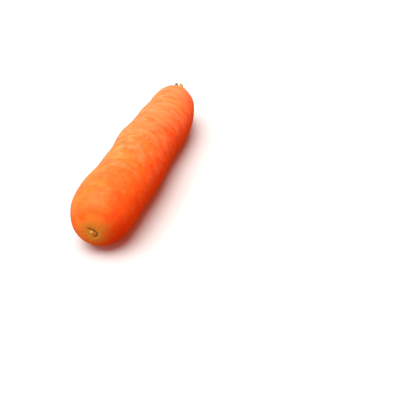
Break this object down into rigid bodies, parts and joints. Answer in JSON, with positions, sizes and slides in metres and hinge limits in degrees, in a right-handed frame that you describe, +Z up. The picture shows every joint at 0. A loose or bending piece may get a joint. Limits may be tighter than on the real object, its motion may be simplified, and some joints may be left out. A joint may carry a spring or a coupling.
{
  "type": "carrot",
  "caption": "Whole Nantes-type carrot lying on its side: near-cylindrical orange taproot with a blunt scarred tip, rounded crown shoulder and short trimmed leaf-stalk stubs.",
  "frame": {"origin": "on the resting surface, under the middle of the whole object's box", "axes": "+Z up; +X along the root towards its tip; the crown with its leaf-stalk stubs is at -X"},
  "size_m": [0.1812, 0.0354, 0.0334],
  "materials": {
    "carrot_skin": "moist satin skin",
    "leaf_stalk": "dry fibrous"
  },
  "bodies": {
    "root": {"taproot": "carrot_skin", "leaf_stub_1": "leaf_stalk", "leaf_stub_2": "leaf_stalk", "leaf_stub_3": "leaf_stalk", "leaf_stub_4": "leaf_stalk", "leaf_stub_5": "leaf_stalk", "leaf_stub_6": "leaf_stalk", "heart_stub_1": "leaf_stalk", "heart_stub_2": "leaf_stalk", "heart_stub_3": "leaf_stalk"}
  },
  "joints": []
}
